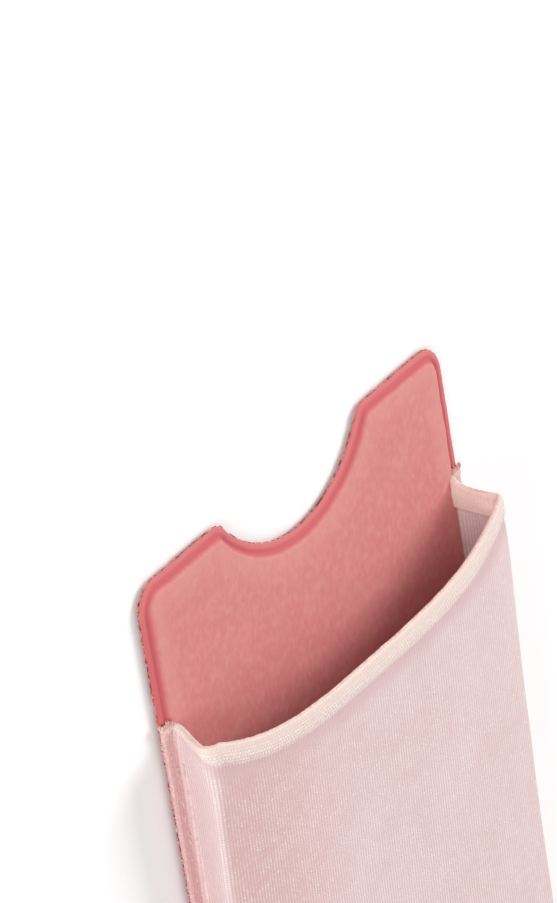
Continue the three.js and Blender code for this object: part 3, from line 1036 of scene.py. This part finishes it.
def adhesive_finish():
    """Off-white matt adhesive with a faint cloudiness and a fine stipple."""
    finish = Finish("matt_adhesive")
    place = finish.place()
    clouds = finish.noise(place, 140, 3)
    stipple = finish.noise(place, 3000, 2)
    colour = finish.mix(finish.rise(clouds, 0.35, 0.65), ADHESIVE_GREY, ADHESIVE_WHITE)
    finish.set(Base_Color=colour, Roughness=finish.rise(stipple, 0.35, 0.65, 0.38, 0.55))
    finish.bump(stipple, 0.00003, 0.5)
    return finish.material


# The floor's width and own light, the sky's level, and each lamp's name, place, width in metres and watts
FLOOR_SIZE = 4.0
FLOOR_LIFT = 0.1
SKY_LIGHT = 0.56
LAMPS = [
    ("left_softbox", (-0.75, 0.1, 0.22), 0.4, 2.7),
    ("right_softbox", (0.65, 0.3, 0.5), 0.5, 4.6),
]


def seen_ray(tree):
    """1 for a ray from the camera, from a gloss or through glass, and 0 for any other."""
    rays = tree.nodes.new("ShaderNodeLightPath")
    known = rays.outputs["Is Camera Ray"]
    for name in ("Is Glossy Ray", "Is Transmission Ray"):
        either = tree.nodes.new("ShaderNodeMath")
        either.operation = "MAXIMUM"
        tree.links.new(known, either.inputs[0])
        tree.links.new(rays.outputs[name], either.inputs[1])
        known = either.outputs[0]
    return known


def studio():
    """A pale floor, an even white sky, and a soft lamp on each side above the holder."""
    corners = FLOOR_SIZE / 2 * np.array([[-1, -1, 0], [1, -1, 0], [1, 1, 0], [-1, 1, 0]])
    floor = new_piece("floor", corners, [[0, 1, 2, 3]])
    paint = Finish("pale_floor")
    grain = paint.noise(paint.place(), 30, 2)
    paint.set(Base_Color=paint.mix(grain, FLOOR_GREY, FLOOR_WHITE), Roughness=0.9)
    paint.shader.inputs["Emission Color"].default_value = (1, 1, 1, 1)
    paint.set(Emission_Strength=paint.times(seen_ray(paint.tree), FLOOR_LIFT))
    floor.data.materials.append(paint.material)

    world = bpy.data.worlds.new("even_sky")
    bpy.context.scene.world = world
    world.use_nodes = True
    tree = world.node_tree
    sky = tree.nodes["Background"]
    sky.inputs["Color"].default_value = (1, 1, 1, 1)
    strength = tree.nodes.new("ShaderNodeMapRange")
    strength.inputs["To Min"].default_value = SKY_LIGHT
    strength.inputs["To Max"].default_value = 1.0
    tree.links.new(seen_ray(tree), strength.inputs["Value"])
    tree.links.new(strength.outputs[0], sky.inputs["Strength"])

    for name, place, size, power in LAMPS:
        lamp = bpy.data.lights.new(name, "AREA")
        lamp.shape = "DISK"
        lamp.size = size
        lamp.energy = power
        holder = bpy.data.objects.new(name, lamp)
        holder.location = place
        holder.rotation_euler = (-Vector(place)).to_track_quat("-Z", "Y").to_euler()
        bpy.context.scene.collection.objects.link(holder)


# The camera sees a frame of 557 by 903 pixels
CAMERA_PLACE = (-0.5612, 0.4328, 0.4493)
CAMERA_AIM = (0.68796, -0.47201, -0.55129)
CAMERA_UP = (0.46810, 0.86908, -0.15994)
SENSOR = 36.0
FOCAL_PIXELS = 7900.5
FRAME_LONG_SIDE = 903


def camera():
    """A long lens from above the holder's upper left corner, rolled so that Y points up."""
    view = bpy.data.cameras.new("camera")
    view.sensor_width = SENSOR
    view.lens = FOCAL_PIXELS * SENSOR / FRAME_LONG_SIDE
    view.clip_start = 0.05
    holder = bpy.data.objects.new("camera", view)
    back = -Vector(CAMERA_AIM).normalized()
    right = Vector(CAMERA_UP).cross(back).normalized()
    up = back.cross(right)
    turn = Matrix((right, up, back)).transposed().to_4x4()
    holder.matrix_world = Matrix.Translation(CAMERA_PLACE) @ turn
    bpy.context.scene.collection.objects.link(holder)
    bpy.context.scene.camera = holder


camera()
studio()

panel = padded_panel()
panel.data.materials.append(coral_fabric())
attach(panel, "root")
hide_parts("back_panel")

panel_threads()

cloth, seam, crest = pocket()
cloth.data.materials.append(knit_fabric())
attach(cloth, "root")
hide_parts("stretch_pocket")
pocket_threads(seam, crest)

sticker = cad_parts["adhesive_sheet"]
sticker.data.materials.clear()
sticker.data.materials.append(adhesive_finish())

bpy.context.scene.view_settings.view_transform = "Standard"
